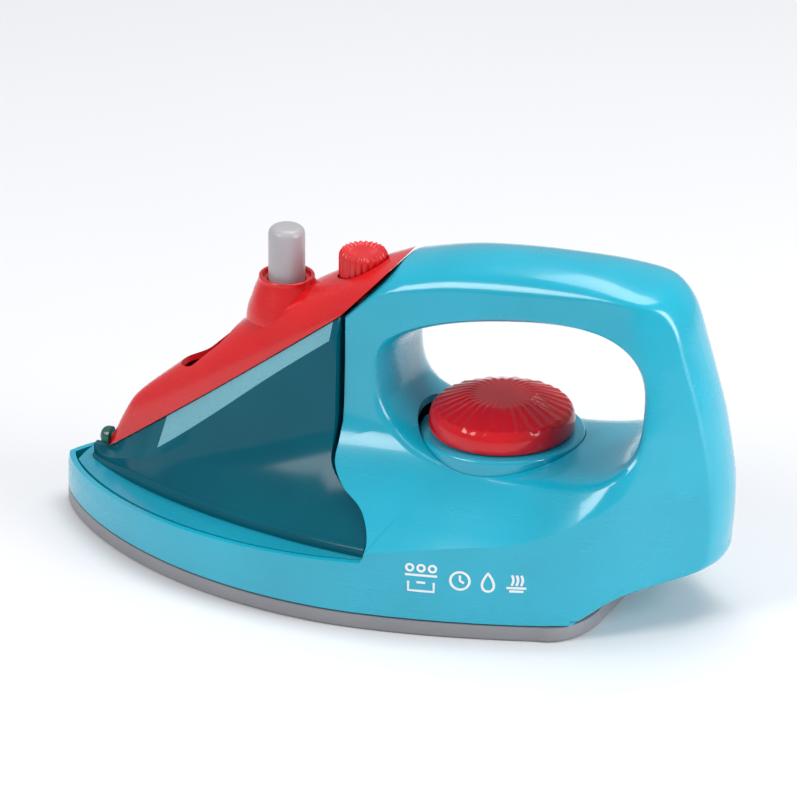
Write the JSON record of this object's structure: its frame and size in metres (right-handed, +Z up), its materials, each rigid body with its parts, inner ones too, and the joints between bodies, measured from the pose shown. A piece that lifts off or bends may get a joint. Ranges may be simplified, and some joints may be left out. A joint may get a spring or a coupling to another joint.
{
  "type": "toy steam iron",
  "caption": "Toy steam iron with a looped handle, see-through water tank, red cover, push-down spray plunger, sound button and turning dial.",
  "frame": {"origin": "centre of the whole iron's outline, on the flat underside of the soleplate", "axes": "+X from the nose to the heel, +Y across the iron to the right shell, +Z up from the soleplate"},
  "size_m": [0.1943, 0.097, 0.0965],
  "materials": {
    "sole_grey": "satin moulded",
    "body_turquoise": "gloss moulded",
    "deck_teal": "satin moulded",
    "tank_teal": "clear tinted, glossy",
    "cover_red": "gloss moulded",
    "plunger_grey": "semi-gloss moulded",
    "seal_rubber": "matt",
    "spring_steel": "bright drawn wire",
    "pump_clear": "milky, semi-gloss",
    "tube_clear": "soft, milky",
    "nozzle_green": "semi-gloss moulded",
    "button_red": "semi-gloss, ribbed",
    "bracket_white": "satin moulded",
    "switch_black": "satin",
    "seat_teal": "gloss moulded",
    "dial_red": "clear tinted, glossy",
    "clip_steel": "stamped sheet",
    "lamp_red": "clear tinted",
    "board_green": "solder-resist satin",
    "chip_black": "matt",
    "speaker_dark": "satin",
    "box_white": "satin moulded",
    "cell_dark": "glossy sleeve",
    "screw_steel": "plated"
  },
  "bodies": {
    "housing": {"soleplate": "sole_grey", "left_shell": "body_turquoise", "right_shell": "body_turquoise", "tank_deck": "deck_teal", "water_tank": "tank_teal", "top_cover": "cover_red", "plunger_spring": "spring_steel", "pump_barrel": "pump_clear", "inlet_ball": "spring_steel", "suction_tube": "tube_clear", "delivery_hose": "tube_clear", "spray_nozzle": "nozzle_green", "button_spring": "spring_steel", "button_bracket": "bracket_white", "tact_switch": "switch_black", "dial_seat": "seat_teal", "detent_spring": "clip_steel", "dial_lamp": "lamp_red", "main_board": "board_green", "sound_chip": "chip_black", "speaker": "speaker_dark", "battery_box": "box_white", "batteries": "cell_dark", "battery_contacts": "clip_steel", "battery_door": "sole_grey", "door_screw": "screw_steel", "shell_screws": "screw_steel", "sole_screws": "screw_steel"},
    "plunger": {"spray_plunger": "plunger_grey", "piston_seal": "seal_rubber"},
    "button": {"sound_button": "button_red"},
    "knob": {"dial": "dial_red", "dial_clip": "clip_steel"}
  },
  "joints": [
    {"name": "spray_press", "type": "slide", "parent": "housing", "child": "plunger", "axis": [0, 0, -1], "range_m": [0, 0.008], "stiffness_N_per_m": 150, "deforming": ["plunger_spring"]},
    {"name": "sound_press", "type": "slide", "parent": "housing", "child": "button", "axis": [0, 0, -1], "range_m": [0, 0.002], "stiffness_N_per_m": 300, "deforming": ["button_spring"]},
    {"name": "dial_turn", "type": "hinge", "parent": "housing", "child": "knob", "pos_m": [0.0303, 0, 0.0432], "axis": [0, 0, 1], "continuous": true}
  ]
}
